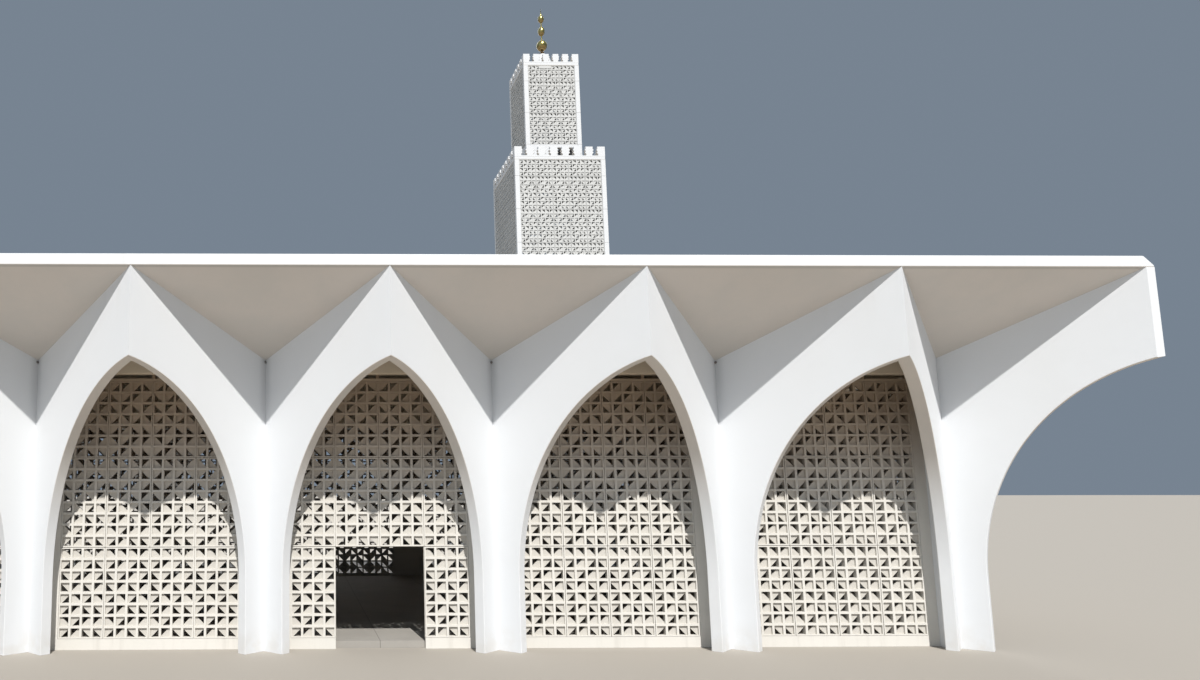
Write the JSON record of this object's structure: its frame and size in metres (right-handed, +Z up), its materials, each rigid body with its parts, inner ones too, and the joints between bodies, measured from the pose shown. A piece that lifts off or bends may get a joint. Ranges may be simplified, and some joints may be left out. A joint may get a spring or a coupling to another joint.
{
  "type": "mosque building with folded arcade and square tower",
  "caption": "Mosque hall with a folded white wall of pointed half arches, pierced screens behind them, a flat roof and a stepped square tower with a brass finial.",
  "frame": {"origin": "middle of the whole footprint, hall and tower together, at ground level", "axes": "+Z up, -Y out of the long front side, +X to the right seen from the front"},
  "size_m": [30, 24.1104, 26.9069],
  "materials": {
    "white_plaster": "smooth white painted render",
    "pierced_concrete": "off-white precast concrete, matt",
    "tower_lattice": "off-white precast concrete, matt",
    "floor_concrete": "trowelled grey concrete",
    "brass": "polished brass"
  },
  "bodies": {
    "root": {"roof": "white_plaster", "fold_front_1": "white_plaster", "fold_front_2": "white_plaster", "fold_front_3": "white_plaster", "fold_front_4": "white_plaster", "fold_right_1": "white_plaster", "fold_right_2": "white_plaster", "fold_back_1": "white_plaster", "fold_back_2": "white_plaster", "fold_back_3": "white_plaster", "fold_back_4": "white_plaster", "fold_left_1": "white_plaster", "fold_left_2": "white_plaster", "corner_front_right": "white_plaster", "corner_back_right": "white_plaster", "corner_back_left": "white_plaster", "corner_front_left": "white_plaster", "screen_front_1": "pierced_concrete", "screen_front_2": "pierced_concrete", "screen_front_3": "pierced_concrete", "screen_front_4": "pierced_concrete", "screen_front_5": "pierced_concrete", "screen_right_1": "pierced_concrete", "screen_right_2": "pierced_concrete", "screen_right_3": "pierced_concrete", "screen_back_1": "pierced_concrete", "screen_back_2": "pierced_concrete", "screen_back_3": "pierced_concrete", "screen_back_4": "pierced_concrete", "screen_back_5": "pierced_concrete", "screen_left_1": "pierced_concrete", "screen_left_2": "pierced_concrete", "screen_left_3": "pierced_concrete", "hall_floor": "floor_concrete", "tower_lower_shaft": "tower_lattice", "tower_upper_shaft": "tower_lattice", "tower_terrace": "white_plaster", "tower_upper_roof": "white_plaster", "tower_cap": "white_plaster", "tower_finial": "brass", "tower_lower_parapet_front": "white_plaster", "tower_lower_parapet_right": "white_plaster", "tower_lower_parapet_back": "white_plaster", "tower_lower_parapet_left": "white_plaster", "tower_upper_parapet_front": "white_plaster", "tower_upper_parapet_right": "white_plaster", "tower_upper_parapet_back": "white_plaster", "tower_upper_parapet_left": "white_plaster"}
  },
  "joints": []
}
